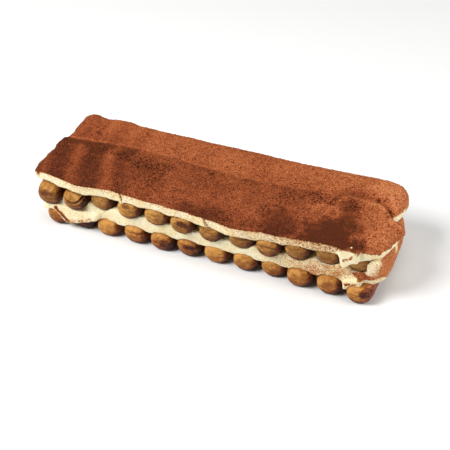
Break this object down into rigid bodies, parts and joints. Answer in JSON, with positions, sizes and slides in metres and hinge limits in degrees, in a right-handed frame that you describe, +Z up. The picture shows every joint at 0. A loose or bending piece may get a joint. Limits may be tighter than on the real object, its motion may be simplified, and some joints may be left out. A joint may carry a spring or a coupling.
{
  "type": "tiramisu",
  "caption": "Long tiramisu loaf of ladyfingers laid crosswise in rows, bedded in and topped with mascarpone cream and dusted with cocoa.",
  "frame": {"origin": "centre of the underside, on the surface the loaf rests on", "axes": "+X along the loaf, +Y from its front to its rear, +Z up"},
  "size_m": [0.3666, 0.1158, 0.0694],
  "materials": {
    "ladyfinger": "golden brown sponge biscuit, wrinkled, slightly damp",
    "soaked_ladyfinger": "coffee-soaked sponge biscuit, orange brown, damp",
    "cream": "pale yellow mascarpone cream, porous where cut, soft satin",
    "cocoa_cream": "mascarpone cream under a dusting of reddish brown cocoa, matt and grainy"
  },
  "bodies": {
    "root": {"ladyfinger_upper_01": "ladyfinger", "ladyfinger_upper_02": "ladyfinger", "ladyfinger_upper_03": "ladyfinger", "ladyfinger_upper_04": "ladyfinger", "ladyfinger_upper_05": "ladyfinger", "ladyfinger_upper_06": "ladyfinger", "ladyfinger_upper_07": "ladyfinger", "ladyfinger_upper_08": "ladyfinger", "ladyfinger_upper_09": "ladyfinger", "ladyfinger_upper_10": "ladyfinger", "ladyfinger_upper_11": "ladyfinger", "ladyfinger_upper_12": "ladyfinger", "ladyfinger_lower_01": "soaked_ladyfinger", "ladyfinger_lower_02": "soaked_ladyfinger", "ladyfinger_lower_03": "soaked_ladyfinger", "ladyfinger_lower_04": "soaked_ladyfinger", "ladyfinger_lower_05": "soaked_ladyfinger", "ladyfinger_lower_06": "soaked_ladyfinger", "ladyfinger_lower_07": "soaked_ladyfinger", "ladyfinger_lower_08": "soaked_ladyfinger", "ladyfinger_lower_09": "soaked_ladyfinger", "ladyfinger_lower_10": "soaked_ladyfinger", "ladyfinger_lower_11": "soaked_ladyfinger", "ladyfinger_lower_12": "soaked_ladyfinger", "cream_bed": "cream", "cream_cover": "cocoa_cream"}
  },
  "joints": []
}
